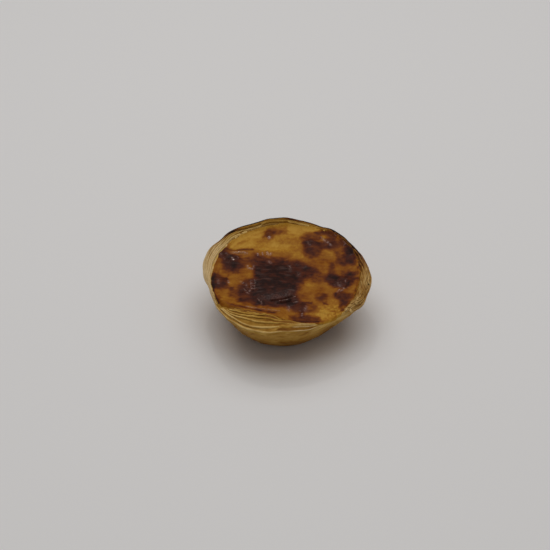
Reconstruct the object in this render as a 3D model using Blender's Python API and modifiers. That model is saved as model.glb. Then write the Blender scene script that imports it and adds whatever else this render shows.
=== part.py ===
"""Portuguese custard tart: a laminated pastry case, flared and uneven, filled with baked custard.

The tart stands on its flat foot at z = 0, with +Z up and -Y towards the side where the rim has fanned out.
Both pieces are turned about the foot's axis and then pushed out of round by angle, as a tin, a thumb and an
oven leave them. The rim leans a little off the foot, and the origin is the middle of the rim's box, on the
surface the tart stands on.
"""

import math

import bpy
from mathutils import Matrix

MM = 0.001  # metres in a millimetre

# Driving sizes, in metres
FOOT_RADIUS = 21.2 * MM
FOOT_ROUNDING = 1.2 * MM
FLOOR_THICKNESS = 3.5 * MM
FLOOR_RADIUS = 18.8 * MM
FLOOR_ROUNDING = 1.6 * MM
LIP_UNDERCUT = 1.1 * MM  # how far the wall starts under the lip
LIP_THICKNESS = 1.3 * MM
GAP = 0.3 * MM  # between the custard and the pastry, so that the two solids stay apart
CUSTARD_MIDDLE = 22.1 * MM  # height of the custard halfway across

WALL_BELLY = 0.74  # power of the outer wall's curve: 1 is a straight cone
INNER_BELLY = 0.8
LAYERS = 4  # leaves of pastry between the rim's crest and its lip
LAYER_RELIEF = 0.11  # their height, as a share of the rim's width
WALL_STEPS = 6
INNER_STEPS = 4
CUSTARD_RINGS = 15
TURN_STEPS = 96

# The rim by angle: degrees from +X towards +Y, then radius and height, in millimetres, of the lip, of the
# crest, and of the line where the custard meets the pastry. It is high and thin at the back (90), fanned
# out wide and low at the front left (250), and nearly buried by the custard at the front right (310).
RIM_KNOTS = (
    (0, 39.4, 20.8, 36.6, 23.5, 33.0, 21.7),
    (30, 39.5, 22.9, 37.7, 25.3, 35.4, 23.4),
    (55, 39.1, 24.9, 37.8, 26.9, 36.0, 25.0),
    (74, 39.1, 25.5, 37.9, 27.3, 35.9, 24.9),
    (92, 39.2, 26.1, 38.0, 28.3, 35.6, 24.8),
    (120, 38.2, 25.4, 37.0, 27.6, 34.3, 24.2),
    (148, 38.7, 24.1, 36.9, 26.5, 32.4, 23.3),
    (160, 38.0, 23.3, 36.0, 25.7, 31.8, 23.0),
    (172, 36.3, 22.4, 34.4, 24.6, 31.4, 22.6),
    (190, 34.0, 21.4, 33.0, 22.9, 31.9, 22.4),
    (205, 33.3, 20.6, 32.0, 22.7, 30.4, 22.1),
    (222, 35.0, 19.8, 29.4, 23.0, 27.4, 22.2),
    (245, 36.0, 19.6, 27.4, 23.3, 25.4, 22.4),
    (265, 35.4, 19.8, 28.2, 23.0, 26.2, 22.0),
    (283, 34.2, 20.2, 31.2, 22.0, 29.6, 21.1),
    (300, 33.9, 20.0, 33.2, 21.0, 32.4, 20.7),
    (318, 34.3, 19.6, 33.6, 20.8, 32.6, 20.5),
    (337, 38.3, 20.2, 35.6, 22.6, 32.4, 21.1),
)
LIP_RADIUS, LIP_HEIGHT, CREST_RADIUS, CREST_HEIGHT, EDGE_RADIUS, EDGE_HEIGHT = range(1, 7)

# Scorched blisters on the custard, in millimetres: middle x and y, half length, half width,
# turn in degrees, and height of the skin above (or below) the custard round it.
BLISTERS = (
    (-3.5, -1.5, 16.5, 14.0, -15, 0.8),
    (-23.5, 12.5, 5.5, 5.0, 30, 0.8),
    (-28.0, -3.0, 4.5, 4.0, 0, 0.7),
    (-6.5, 31.0, 2.4, 2.0, 0, 0.6),
    (14.5, 22.5, 5.5, 6.0, 0, 0.7),
    (24.0, 27.0, 6.5, 3.0, -25, 0.5),
    (30.5, 16.0, 3.2, 5.5, 10, 0.5),
    (26.0, -1.5, 5.5, 4.5, 25, 0.7),
    (26.5, -12.0, 3.8, 2.8, 0, 0.5),
    (17.5, -12.5, 3.0, 2.4, -30, 0.45),
    (8.0, -19.5, 5.2, 3.4, -10, 0.6),
    (-1.0, 22.5, 9.0, 4.0, -5, -0.35),
    (15.0, -4.0, 5.5, 5.0, 0, -0.4),
    (19.0, 12.0, 6.0, 3.5, 10, -0.35),
)


def remove_everything():
    for obj in list(bpy.data.objects):
        bpy.data.objects.remove(obj)


def finish(name, colour, roughness):
    """A plain Principled material."""
    material = bpy.data.materials.new(name)
    material.use_nodes = True
    shader = material.node_tree.nodes["Principled BSDF"]
    shader.inputs["Base Color"].default_value = (*colour, 1.0)
    shader.inputs["Roughness"].default_value = roughness
    shader.inputs["Metallic"].default_value = 0.0
    return material


def around(angle, column):
    """One column of RIM_KNOTS at an angle in radians, in metres, on a smooth curve that closes on itself."""
    degrees = math.degrees(angle) % 360
    count = len(RIM_KNOTS)
    last = max(i for i in range(count) if RIM_KNOTS[i][0] <= degrees)

    def knot(i):
        return RIM_KNOTS[i % count][0] + 360 * (i // count), RIM_KNOTS[i % count][column]

    (a0, v0), (a1, v1), (a2, v2), (a3, v3) = (knot(last + step) for step in (-1, 0, 1, 2))
    span = a2 - a1
    t = (degrees - a1) / span
    slope1 = (v2 - v0) / (a2 - a0) * span
    slope2 = (v3 - v1) / (a3 - a1) * span
    value = (
        (2 * t**3 - 3 * t**2 + 1) * v1
        + (t**3 - 2 * t**2 + t) * slope1
        + (3 * t**2 - 2 * t**3) * v2
        + (t**3 - t**2) * slope2
    )
    return value * MM


def crumple(angle, size):
    """The rim's small waves, which no two tarts share."""
    waves = ((9, 0.4, 0.5), (14, 2.1, 0.3), (23, 4.4, 0.2))
    return size * sum(share * math.sin(count * angle + phase) for count, phase, share in waves)


def blend(a, b, t):
    return a + (b - a) * t


def inner_wall(angle, t):
    """Radius and height on the inside of the wall, from the floor (t = 0) to the custard's edge (t = 1)."""
    radius = blend(FLOOR_RADIUS, around(angle, EDGE_RADIUS), t**INNER_BELLY)
    height = blend(FLOOR_THICKNESS + FLOOR_ROUNDING, around(angle, EDGE_HEIGHT), t)
    return radius, height


def rim_top(angle, t):
    """Radius and height over the fanned leaves, from the crest (t = 0) to the lip (t = 1)."""
    radius = blend(around(angle, CREST_RADIUS), around(angle, LIP_RADIUS), t)
    height = blend(around(angle, CREST_HEIGHT), around(angle, LIP_HEIGHT), t**1.3)
    return radius + crumple(angle, 0.5 * MM), height + crumple(angle + t, 0.45 * MM)


def outer_wall(angle, t):
    """Radius and height on the outside, from under the lip (t = 1) to the foot's rounding (t = 0)."""
    top_radius = around(angle, LIP_RADIUS) - LIP_UNDERCUT + crumple(angle, 0.3 * MM)
    top_height = around(angle, LIP_HEIGHT) - LIP_THICKNESS
    radius = blend(FOOT_RADIUS, top_radius, t**WALL_BELLY)
    return radius, blend(FOOT_ROUNDING, top_height, t)


def case_outline(angle):
    """The pastry's outline at one angle: out along the floor, up the inside, over the rim, down to the foot."""
    points = [
        (0.0, FLOOR_THICKNESS),
        (0.5 * FLOOR_RADIUS, FLOOR_THICKNESS),
        (FLOOR_RADIUS - FLOOR_ROUNDING, FLOOR_THICKNESS),
    ]
    points += [inner_wall(angle, step / INNER_STEPS) for step in range(INNER_STEPS + 1)]
    rim_width = math.dist(rim_top(angle, 0.0), rim_top(angle, 1.0))
    for step in range(2 * LAYERS + 1):
        radius, height = rim_top(angle, step / (2 * LAYERS))
        leaf = 0.5 if step % 2 == 0 else -0.5
        points.append((radius, height + leaf * LAYER_RELIEF * rim_width))
    points += [outer_wall(angle, 1 - step / WALL_STEPS) for step in range(WALL_STEPS + 1)]
    points += [(FOOT_RADIUS - 0.3 * FOOT_ROUNDING, 0.3 * FOOT_ROUNDING), (FOOT_RADIUS - FOOT_ROUNDING, 0.0)]
    points += [(0.5 * FOOT_RADIUS, 0.0), (0.0, 0.0)]
    return points


def blister_relief(x, y):
    """How far the blistered skin stands off the level custard at a point, in metres."""
    relief = 0.0
    for middle_x, middle_y, half_length, half_width, turn, height in BLISTERS:
        dx, dy = x / MM - middle_x, y / MM - middle_y
        c, s = math.cos(math.radians(turn)), math.sin(math.radians(turn))
        reach = math.hypot((dx * c + dy * s) / half_length, (dy * c - dx * s) / half_width)
        if reach < 1:
            relief += height * MM * (1 - reach**2) ** 2 * (1 + 1.2 * reach**2)
    return relief


def custard_edge(angle):
    radius, height = inner_wall(angle, 1.0)
    return radius - GAP, height


def custard_outline(angle):
    """The filling's outline at one angle: out over the top, down beside the wall, in along the floor."""
    edge_radius, edge_height = custard_edge(angle)
    points = []
    for ring in range(CUSTARD_RINGS + 1):
        t = ring / CUSTARD_RINGS
        radius = edge_radius * t
        level = blend(CUSTARD_MIDDLE, edge_height, t**2)
        calm = 1 - t**8  # the skin is tied down where it meets the pastry
        relief = blister_relief(radius * math.cos(angle), radius * math.sin(angle)) * calm
        points.append((radius, level + relief))
    for step in range(INNER_STEPS - 1, -1, -1):
        radius, height = inner_wall(angle, step / INNER_STEPS)
        points.append((radius - GAP, height))
    bottom = FLOOR_THICKNESS + GAP
    points += [(FLOOR_RADIUS - FLOOR_ROUNDING - GAP, bottom), (0.5 * FLOOR_RADIUS, bottom), (0.0, bottom)]
    return points


def uneven_turning(name, outline, material, collection):
    """A solid turned from the outline at angle 0, then moved point by point to the outline at each angle."""
    profile = outline(0.0)
    mesh = bpy.data.meshes.new(name + "_profile")
    mesh.from_pydata([(radius, 0.0, height) for radius, height in profile],
                     [(i, i + 1) for i in range(len(profile) - 1)], [])
    turned = bpy.data.objects.new(name + "_turned", mesh)
    collection.objects.link(turned)
    screw = turned.modifiers.new("Turn", "SCREW")
    screw.steps = screw.render_steps = TURN_STEPS
    screw.use_merge_vertices = True
    screw.merge_threshold = 0.00001
    screw.use_smooth_shade = True

    bpy.context.view_layer.update()
    solid = bpy.data.meshes.new_from_object(turned.evaluated_get(bpy.context.evaluated_depsgraph_get()))
    bpy.data.objects.remove(turned)

    by_angle = {}
    for vertex in solid.vertices:
        radius = math.hypot(vertex.co.x, vertex.co.y)
        station = min(
            range(len(profile)),
            key=lambda i: (profile[i][0] - radius) ** 2 + (profile[i][1] - vertex.co.z) ** 2,
        )
        angle = math.atan2(vertex.co.y, vertex.co.x)
        key = round(angle / math.tau * TURN_STEPS) % TURN_STEPS
        if key not in by_angle:
            by_angle[key] = outline(key * math.tau / TURN_STEPS)
        new_radius, height = by_angle[key][station]
        vertex.co = (new_radius * math.cos(angle), new_radius * math.sin(angle), height)

    solid.name = name
    solid.materials.append(material)
    solid.shade_smooth()
    solid.set_sharp_from_angle(angle=math.radians(40))
    piece = bpy.data.objects.new(name, solid)
    collection.objects.link(piece)
    return piece


def centre_on_origin(pieces):
    """Moves the pieces together, so that the origin is the middle of their box in plan."""
    points = [vertex.co for piece in pieces for vertex in piece.data.vertices]
    middle = [(min(p[axis] for p in points) + max(p[axis] for p in points)) / 2 for axis in (0, 1)]
    for piece in pieces:
        piece.data.transform(Matrix.Translation((-middle[0], -middle[1], 0.0)))


def main():
    remove_everything()
    tart = bpy.data.collections.new("custard_tart")
    bpy.context.scene.collection.children.link(tart)
    pastry = finish("baked_pastry", (0.46, 0.30, 0.12), 0.6)
    custard = finish("scorched_custard", (0.30, 0.13, 0.03), 0.3)
    case = uneven_turning("pastry_case", case_outline, pastry, tart)
    filling = uneven_turning("custard", custard_outline, custard, tart)
    centre_on_origin((case, filling))


main()
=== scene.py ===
import math

import bmesh
import bpy
import numpy as np
from mathutils import Matrix, Vector, noise


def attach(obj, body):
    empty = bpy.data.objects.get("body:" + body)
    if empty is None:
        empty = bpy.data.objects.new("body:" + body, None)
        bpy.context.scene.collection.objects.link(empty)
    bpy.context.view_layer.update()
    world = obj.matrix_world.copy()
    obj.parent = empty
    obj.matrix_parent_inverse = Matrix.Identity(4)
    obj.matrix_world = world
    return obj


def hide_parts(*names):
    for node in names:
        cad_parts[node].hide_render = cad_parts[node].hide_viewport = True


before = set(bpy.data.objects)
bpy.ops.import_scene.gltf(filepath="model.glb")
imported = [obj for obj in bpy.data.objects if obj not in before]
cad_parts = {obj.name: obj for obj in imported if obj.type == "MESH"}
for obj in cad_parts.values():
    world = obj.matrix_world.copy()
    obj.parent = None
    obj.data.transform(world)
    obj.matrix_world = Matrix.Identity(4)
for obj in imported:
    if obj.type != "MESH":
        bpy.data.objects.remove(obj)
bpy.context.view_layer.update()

mm = 0.001
cadSteps = 96          # the CAD pieces are turned in this many steps
cadGap = 0.3           # mm between the CAD custard and its case


# measures taken from the frame, in mm about the foot's axis

def footAxis():
    foot = [v.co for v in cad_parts["pastry_case"].data.vertices if v.co.z < 0.05 * mm]
    xs = [p.x for p in foot]
    ys = [p.y for p in foot]
    return Vector(((min(xs) + max(xs)) / 2, (min(ys) + max(ys)) / 2, 0.0))


def outlineByAngle(node):
    rows = [[] for i in range(cadSteps)]
    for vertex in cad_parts[node].data.vertices:
        spot = (vertex.co - axisPoint) / mm
        radius = math.hypot(spot.x, spot.y)
        if radius > 1.0:
            step = round(math.atan2(spot.y, spot.x) / math.tau * cadSteps) % cadSteps
            rows[step].append((radius, spot.z))
    return rows


axisPoint = footAxis()
caseRows = outlineByAngle("pastry_case")
custardRows = outlineByAngle("custard")
lipPoints = [max(row) for row in caseRows]
crestPoints = [max(row, key=lambda p: p[1]) for row in caseRows]
edgePoints = [max(row) for row in custardRows]
print("frame measured, lip radius", round(min(lipPoints)[0], 1), "to", round(max(lipPoints)[0], 1), "mm")


def closedCurve(values, turn):
    # a smooth closed curve through values spaced evenly round the turn
    values = np.asarray(values)
    count = len(values)
    spot = (np.asarray(turn) / math.tau) % 1.0 * count
    i = np.floor(spot).astype(int)
    t = spot - i
    a, b, c, d = (values[(i + k) % count] for k in (-1, 0, 1, 2))
    return b + 0.5 * t * (c - a + t * (2 * a - 5 * b + 4 * c - d + t * (3 * (b - c) + d - a)))


def around(points, part, turn):
    return closedCurve([p[part] for p in points], turn)


def byAngle(turn, pairs):
    # values given at some angles in degrees, eased in between
    degrees = np.degrees(turn) % 360
    spots = [pair[0] for pair in pairs]
    values = [pair[1] for pair in pairs]
    spots = [spots[-1] - 360] + spots + [spots[0] + 360]
    values = [values[-1]] + values + [values[0]]
    i = np.clip(np.searchsorted(spots, degrees, side="right") - 1, 0, len(spots) - 2)
    low = np.array(spots)[i]
    high = np.array(spots)[i + 1]
    t = smoothStep(0, 1, (degrees - low) / (high - low))
    return np.array(values)[i] * (1 - t) + np.array(values)[i + 1] * t


def smoothStep(low, high, value):
    t = np.clip((value - low) / (high - low), 0.0, 1.0)
    return t * t * (3 - 2 * t)


def wobble(points, size, seed):
    # smooth random values from -1 to 1, in bumps of about that size in mm
    shift = Vector((seed * 17.3, seed * 5.1, seed * 9.7))
    return np.array([noise.noise(Vector(p) / size + shift) for p in points.tolist()])


# mesh helpers

def gridMesh(name, columns, rows):
    # a flat grid, and each vertex's share of the way along and up it
    bm = bmesh.new()
    bmesh.ops.create_grid(bm, x_segments=columns, y_segments=rows, size=0.5)
    mesh = bpy.data.meshes.new(name)
    bm.to_mesh(mesh)
    bm.free()
    flat = np.zeros(len(mesh.vertices) * 3)
    mesh.vertices.foreach_get("co", flat)
    flat = flat.reshape(-1, 3)
    return mesh, flat[:, 0] + 0.5, flat[:, 1] + 0.5


def place(mesh, points):
    spots = points * mm + np.array(axisPoint)
    mesh.vertices.foreach_set("co", spots.ravel())


def paint(mesh, name, values):
    kind = "FLOAT_VECTOR" if values.ndim == 2 else "FLOAT"
    layer = mesh.attributes.new(name, kind, "POINT")
    layer.data.foreach_set("vector" if values.ndim == 2 else "value", values.ravel())


def weldMeshes(name, meshes):
    # joins meshes into one object, closes their seams and turns their faces outwards
    bm = bmesh.new()
    for mesh in meshes:
        bm.from_mesh(mesh)
        bpy.data.meshes.remove(mesh)
    bmesh.ops.remove_doubles(bm, verts=bm.verts, dist=0.0003 * mm)
    bmesh.ops.recalc_face_normals(bm, faces=bm.faces)
    for face in bm.faces:
        face.smooth = True
    whole = bpy.data.meshes.new(name)
    bm.to_mesh(whole)
    openEdges = sum(1 for edge in bm.edges if not edge.is_manifold)
    bm.free()
    piece = bpy.data.objects.new(name, whole)
    bpy.context.scene.collection.objects.link(piece)
    whole.calc_loop_triangles()
    print(name, len(whole.loop_triangles), "triangles,", openEdges, "open edges")
    return piece


# degrees and how burnt the crest is, and the bake and stain of the crust all round

burntBack = ((5, 0), (28, 0.8), (50, 1), (132, 1), (155, 0.6), (180, 0.25), (205, 0.0))
crustBake = ((14, 0.36), (30, 0.20), (60, -0.18), (90, -0.28), (110, -0.28), (130, -0.30), (165, -0.30),
             (200, -0.12),
             (225, 0.06), (250, 0.02), (262, 0.08), (272, 0.10), (283, -0.02), (325, 0.06), (335, 0.18),
             (343, 0.34), (352, 0.18))
crustStain = ((0, 0.1), (40, 0.1), (90, 0.12), (130, 0.0), (150, -0.4), (190, -0.5), (205, 0.0), (225, 0.35),
              (262, 0.35), (272, 0.2), (284, -0.25), (330, -0.1), (343, 0.35), (352, 0.0))
fanColour = ((208, 0), (222, 1), (275, 1), (292, 0))


# the rim, from the custard's edge (0) over the crest to the lip (1)

rim = {
    # degrees and how far the custard has crept up the rim there; past 1 it runs down the wall
    "creep": ((2, 0.16), (12, 0.24), (22, 0.32), (38, 0.36), (50, 0.36), (62, 0.30), (85, 0.25),
              (105, 0.22), (130, 0.16), (150, 0.13), (165, 0.10), (178, 0.10), (190, 0.14), (198, 0.32),
              (206, 0.66), (213, 0.80), (220, 0.60), (229, 0.38), (240, 0.24), (262, 0.14),
              (285, 0.12), (294, 0.40), (301, 0.90), (308, 1.10),
              (315, 1.04), (320, 0.40), (325, 0.14)),
    # degrees and the roughness of the crust, in mm
    "rough": ((15, 0.30), (35, 0.10), (60, 0.06), (150, 0.06), (200, 0.10), (215, 0.16),
              (262, 0.12), (275, 0.06), (330, 0.12), (342, 0.34)),
    # degrees and where the ridge runs across the front of the rim; its top is painted paler as a highlight
    "ridge": ((215, 1.0), (255, 1.0), (261, 0.92), (270, 0.68), (285, 0.52), (300, 0.50), (318, 0.8),
              (330, 1.0)),
    "ridgeHeight": ((225, 0.0), (238, 0.16), (252, 0.30), (285, 0.30), (298, 0.12), (306, 0.0)),
    "ridgeWidth": 0.75,     # mm
}


def rimCorner(turn, share):
    edgeR = around(edgePoints, 0, turn) + cadGap
    edgeZ = around(edgePoints, 1, turn)
    crestR = around(crestPoints, 0, turn)
    crestZ = around(crestPoints, 1, turn)
    lipR = around(lipPoints, 0, turn)
    lipZ = around(lipPoints, 1, turn)
    rise = np.hypot(crestR - edgeR, crestZ - edgeZ)
    fall = np.hypot(lipR - crestR, lipZ - crestZ)
    split = rise / (rise + fall)
    up = np.clip(share / split, 0, 1)
    down = np.clip((share - split) / (1 - split), 0, 1)
    radius = edgeR + (crestR - edgeR) * up + (lipR - crestR) * down
    height = edgeZ + (crestZ - edgeZ) * up + (lipZ - crestZ) * down ** 1.25
    return radius, height, rise + fall


def crestShare(turn):
    edgeR, edgeZ, width = rimCorner(turn, 0 * turn)
    rise = np.hypot(around(crestPoints, 0, turn) - edgeR, around(crestPoints, 1, turn) - edgeZ)
    return rise / width


def rimLine(turn, share):
    # the same with its corners eased
    total = [0.0, 0.0]
    for ease in (-0.06, -0.03, 0.0, 0.03, 0.06):
        radius, height, width = rimCorner(turn, np.clip(share + ease, 0, 1))
        total[0] = total[0] + radius / 5
        total[1] = total[1] + height / 5
    return total[0], total[1], width


def rimBake(turn, share):
    # what the oven adds to the crust's colour: the burnt crest and the darker and paler stretches
    crest = crestShare(turn)
    burnt = byAngle(turn, burntBack)
    fan = byAngle(turn, fanColour)
    outside = 1 - 0.45 * smoothStep(crest + 0.1, crest + 0.3, share)
    bake = byAngle(turn, crustBake) + 0.46 * burnt ** 4 * smoothStep(crest - 0.32, crest - 0.05, share)
    bake += 0.70 * burnt * smoothStep(crest - 0.07, crest + 0.01, share) * outside
    return bake + 0.25 * fan * (1 - smoothStep(0.15, 0.85, share))


def rimStain(turn, share):
    fan = byAngle(turn, fanColour)
    crest = crestShare(turn)
    stain = 0.6 + byAngle(turn, crustStain) + 0.5 * fan * (1 - smoothStep(0.3, 0.9, share))
    stain += 0.35 * (1 - smoothStep(0.05, 0.4, share))
    return stain + 0.4 * byAngle(turn, burntBack) ** 4 * smoothStep(crest - 0.4, crest - 0.1, share)


def creepAt(turn):
    circle = np.stack([33 * np.cos(turn), 33 * np.sin(turn), 0 * turn], 1)
    creep = byAngle(turn, rim["creep"])
    ragged = 0.5 * wobble(circle, 4.0, 61) + 0.35 * wobble(circle, 1.6, 62)
    return np.maximum(creep + np.minimum(creep, 0.3) * ragged, 0.09)


# the pastry case

pastryCase = {
    "columns": 720,
    "underside": 16,
    "footRound": 4,
    "wall": 44,
    "lip": 4,
    "rim": 34,
    "inside": 7,
    "footRadius": 21.2,
    "footRounding": 1.2,
    "lipUndercut": 1.1,
    "lipThickness": 1.3,
    "belly": 0.74,
    "innerBelly": 0.8,
    "floorHeight": 3.5,
    "floorRadius": 18.8,
    "dents": 0.30,
    "blisters": 0.7,
    "pleats": 0.22,
    "layerRidges": 0.07,
    "layerPitch": 1.15,
}


def wallTop(turn):
    # where the wall ends under the lip
    topR = around(lipPoints, 0, turn) - pastryCase["lipUndercut"]
    topZ = around(lipPoints, 1, turn) - pastryCase["lipThickness"]
    return topR, topZ


def wallSpot(turn, up):
    # a place on the wall, from the foot (0) to its top (1)
    size = pastryCase
    topR, topZ = wallTop(turn)
    radius = size["footRadius"] + (topR - size["footRadius"]) * up ** size["belly"]
    return radius, size["footRounding"] + (topZ - size["footRounding"]) * up


def lipSpot(turn, up):
    # a place on the lip's round underside, from the wall's top (0) to the lip (1)
    topR, topZ = wallTop(turn)
    bend = math.pi / 2 * up
    radius = topR + pastryCase["lipUndercut"] * np.sin(bend)
    return radius, topZ + pastryCase["lipThickness"] * (1 - np.cos(bend))


def overRim(turn, share):
    # the rim's line, and past the lip on down the wall
    rimR, rimZ, width = rimLine(turn, np.clip(share, 0, 1))
    down = np.maximum(share - 1, 0) * width
    turnUnder = pastryCase["lipThickness"] + 0.4
    lipR, lipZ = lipSpot(turn, np.clip(1 - down / turnUnder, 0, 1))
    topZ = wallTop(turn)[1]
    wallR, wallZ = wallSpot(turn, np.clip(1 - (down - turnUnder) / topZ, 0, 1))
    radius = np.where(down <= 0, rimR, np.where(down < turnUnder, lipR, wallR))
    height = np.where(down <= 0, rimZ, np.where(down < turnUnder, lipZ, wallZ))
    return radius, height


def caseOutline(turn, size):
    # radius, height and zone of every station: underside 0, wall to 1, rim to 2, inside 3
    one = np.ones_like(turn)
    footR = size["footRadius"]
    turnIn = size["footRounding"]
    rows = []
    for i in range(size["underside"]):
        rows.append(((footR - turnIn) * i / size["underside"] * one, 0 * one, 0 * one))
    for i in range(size["footRound"]):
        bend = math.pi / 2 * i / size["footRound"]
        rows.append((
            (footR - turnIn + turnIn * math.sin(bend)) * one,
            turnIn * (1 - math.cos(bend)) * one,
            0 * one,
        ))
    for i in range(size["wall"]):
        rows.append((*wallSpot(turn, i / size["wall"]), i / size["wall"] * one))
    for i in range(size["lip"]):
        rows.append((*lipSpot(turn, i / size["lip"]), one))
    for i in range(size["rim"]):
        share = 1 - i / size["rim"]
        radius, height, width = rimLine(turn, share * one)
        rows.append((radius, height, (2 - share) * one))
    edgeR, edgeZ, width = rimLine(turn, 0 * one)
    for i in range(size["inside"]):
        down = 1 - i / size["inside"]
        rows.append((
            size["floorRadius"] + (edgeR - size["floorRadius"]) * down ** size["innerBelly"],
            size["floorHeight"] + (edgeZ - size["floorHeight"]) * down,
            3 * one,
        ))
    rows.append((size["floorRadius"] * 0.5 * one, size["floorHeight"] * one, 3 * one))
    rows.append((0 * one, size["floorHeight"] * one, 3 * one))
    return rows


def makePastryCase():
    size = pastryCase
    count = len(caseOutline(np.zeros(1), size))
    mesh, along, up = gridMesh("pastryCase", size["columns"], count - 1)
    turn = along * math.tau
    station = np.rint(up * (count - 1)).astype(int)
    column = np.rint(along * size["columns"]).astype(int)
    ring = np.arange(size["columns"] + 1) / size["columns"] * math.tau
    table = np.array(caseOutline(ring, size))
    radius = table[station, 0, column]
    height = table[station, 1, column]
    zone = table[station, 2, column]
    flatPoint = np.stack([radius * np.cos(turn), radius * np.sin(turn), height], 1)
    underside = 1 - smoothStep(0.0, 0.03, zone)
    wall = smoothStep(0.02, 0.12, zone) * (1 - smoothStep(0.98, 1.0, zone))
    onRim = smoothStep(1.0, 1.08, zone) * (1 - smoothStep(1.92, 2.0, zone))
    dent = wobble(flatPoint * (1, 1, 0.7), 9.0, 1) * 0.6 + wobble(flatPoint, 3.5, 2) * 0.4
    # the rolled dough's layers run round the wall and in a spiral underneath
    layer = height + 1.3 * wobble(flatPoint * (1, 1, 0.5), 14.0, 3) + 0.3 * wobble(flatPoint, 4.0, 4)
    spiral = radius + size["layerPitch"] * turn / math.tau * 2 + 0.5 * wobble(flatPoint, 8.0, 5)
    layer = layer * (1 - underside) + spiral * underside
    pleat = np.abs((layer / size["layerPitch"]) % 1.0 - 0.5) * 2
    ridge = size["layerRidges"] * (1 - pleat ** 3)
    blister = np.clip(wobble(flatPoint * (0.8, 0.8, 1.0), 2.6, 8) - 0.22, 0, 1)
    radius = radius + wall * (size["dents"] * dent - size["layerRidges"] + ridge)
    radius = radius + wall * size["blisters"] * (blister - 0.1)
    radius = radius + wall * size["pleats"] * wobble(flatPoint * (1, 1, 0.2), 5.0, 10)
    rough = byAngle(turn, rim["rough"]) * onRim
    coarse = wobble(flatPoint, 2.2, 6) + 0.6 * wobble(flatPoint, 0.9, 7)
    height = height + rough * coarse
    share = np.clip(2 - zone, 0, 1)
    rimWidth = rimLine(turn, 0 * turn)[2]
    fromRidge = (share - byAngle(turn, rim["ridge"])) * rimWidth / rim["ridgeWidth"]
    ridgeRise = byAngle(turn, rim["ridgeHeight"]) * np.exp(-fromRidge ** 2)
    ridgeRise *= smoothStep(0.98, 1.02, zone) * (zone < 2.5)
    height = height + ridgeRise
    lift = underside * smoothStep(0.5, 3.0, radius) * (size["layerRidges"] * 2 - ridge * 2)
    height = height + lift * (1 - smoothStep(size["footRadius"] - 1.4, size["footRadius"] - 1.0, radius))
    points = np.stack([radius * np.cos(turn), radius * np.sin(turn), height], 1)
    place(mesh, points)
    creep = creepAt(turn)
    bake = 0.24 + 0.05 * dent + 0.18 * (1 - smoothStep(0.05, 0.9, zone))
    # the raised ridge is painted paler, a painted highlight along its top
    bake += onRim * (rimBake(turn, share) + 0.04) + 1.0 * rough * coarse - 0.5 * ridgeRise
    bake += wall * (0.55 * blister + 0.16 * wobble(flatPoint, 7.0, 9))
    ran = byAngle(turn, ((290, 0), (301, 1), (318, 1), (328, 0)))
    bake -= ran * (0.18 * smoothStep(0.55, 0.85, zone) + 0.10 * smoothStep(0.8, 1.0, zone))
    frontFall = byAngle(turn, ((245, 0), (266, 1), (294, 1), (302, 0)))
    bake += 0.20 * frontFall * onRim * smoothStep(0.4, 1.2, fromRidge)
    stain = 0.95 * (1 - onRim) + onRim * rimStain(turn, share)
    stain += 0.6 * frontFall * onRim * smoothStep(0.4, 1.2, fromRidge)
    stain += 0.7 * onRim * smoothStep(creep + 0.25, creep, share) + 0.5 * ran * onRim
    paint(mesh, "bake", bake)
    paint(mesh, "stain", np.clip(stain, 0, 1))
    across = 0.6 * layer * (1 - onRim) + 7.0 * share * onRim
    paint(mesh, "grain", np.stack([points[:, 0], points[:, 1], across], 1))
    return weldMeshes("pastryCase", [mesh])


# the leaves of pastry that stand out of the rim

rimLeaves = {
    "columns": 720,
    "leaves": 10,
    "rootDepth": 1.3,
    # degrees and leaf height as a share of the room between leaves
    "height": ((0, 0.60), (30, 0.36), (50, 0.14), (150, 0.12), (168, 0.22), (195, 0.34), (210, 0.5),
               (228, 0.44), (250, 0.40), (262, 0.30), (276, 0.14), (300, 0.08), (324, 0.3), (342, 0.6)),
    # degrees and the lean of the innermost leaf
    "lean": ((0, 60), (30, 62), (165, 62), (195, 62), (215, 72), (235, 78), (262, 72), (285, 50),
             (335, 60)),
    # degrees and how far the outer leaves bend down
    "splay": ((20, 5), (170, 5), (205, 20), (225, 30), (262, 28), (285, 20), (340, 12)),
    # degrees and how far the leaves run in towards the custard
    "sweep": ((0, 0.0), (205, 0.06), (222, 0.0), (245, -0.20), (262, -0.45), (285, -0.6), (325, -0.6),
              (340, 0.0)),
    # degrees and how torn the leaves' edges are
    "torn": ((0, 0.6), (40, 0.4), (80, 0.3), (150, 0.3), (190, 0.5), (225, 0.35), (265, 0.35),
             (345, 0.6)),
    # degrees and the painted shade: how much darker the gaps between leaves are painted than their edges
    "paintedGapShade": ((20, 0.26), (50, 0.12), (150, 0.14), (175, 0.26), (215, 0.36), (262, 0.36),
                 (300, 0.18), (340, 0.16)),
    "section": ((-1, -0.5), (0.0, -0.5), (0.5, -0.42), (0.86, -0.20), (1, 0.0),
                (0.95, 0.14), (0.6, 0.36), (0.0, 0.48), (-1, 0.5)),
}


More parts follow.
